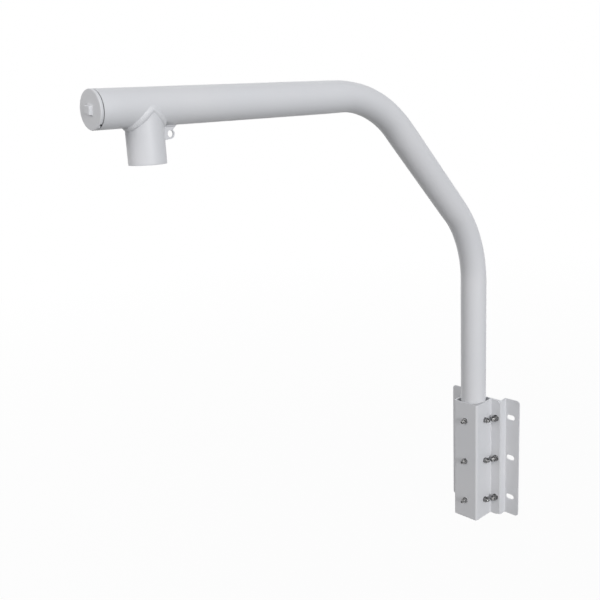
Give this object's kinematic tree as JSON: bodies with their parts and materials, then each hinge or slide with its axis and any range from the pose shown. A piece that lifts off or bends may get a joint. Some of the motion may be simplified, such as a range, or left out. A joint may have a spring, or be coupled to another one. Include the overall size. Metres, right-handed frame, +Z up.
{
  "type": "swan-neck camera bracket",
  "caption": "Swan-neck steel tube with a threaded outlet under its level arm, held by a folded clamp on a slotted wall plate.",
  "frame": {"origin": "middle of the six wall slots, in the plane of the wall plate's back face", "axes": "+X points into the wall and the arm runs along -X, +Z is up along the post, +Y is level along the wall"},
  "size_m": [1.0295, 0.195, 1.0776],
  "materials": {
    "painted_tube": "fine orange-peel powder coat",
    "painted_weld": "fine orange-peel powder coat",
    "painted_sheet": "fine orange-peel powder coat",
    "painted_plug": "fine orange-peel powder coat",
    "zinc_bush": "turned, zinc plated",
    "stainless_fasteners": "plain stainless steel, satin",
    "seal_rubber": "matte black"
  },
  "bodies": {
    "root": {"gooseneck_tube": "painted_tube", "outlet_stub": "painted_tube", "outlet_weld": "painted_weld", "outlet_bush": "zinc_bush", "arm_end_bush": "zinc_bush", "end_plug": "painted_plug", "end_plug_seal": "seal_rubber", "safety_eyelet": "painted_sheet", "eyelet_welds": "painted_weld", "front_clamp": "painted_sheet", "wall_plate": "painted_sheet", "front_set_screws": "stainless_fasteners", "side_set_screws": "stainless_fasteners", "front_lock_nuts": "stainless_fasteners", "side_lock_nuts": "stainless_fasteners", "clamp_bolts": "stainless_fasteners", "clamp_washers": "stainless_fasteners", "clamp_spring_washers": "stainless_fasteners", "clamp_nuts": "stainless_fasteners"}
  },
  "joints": []
}
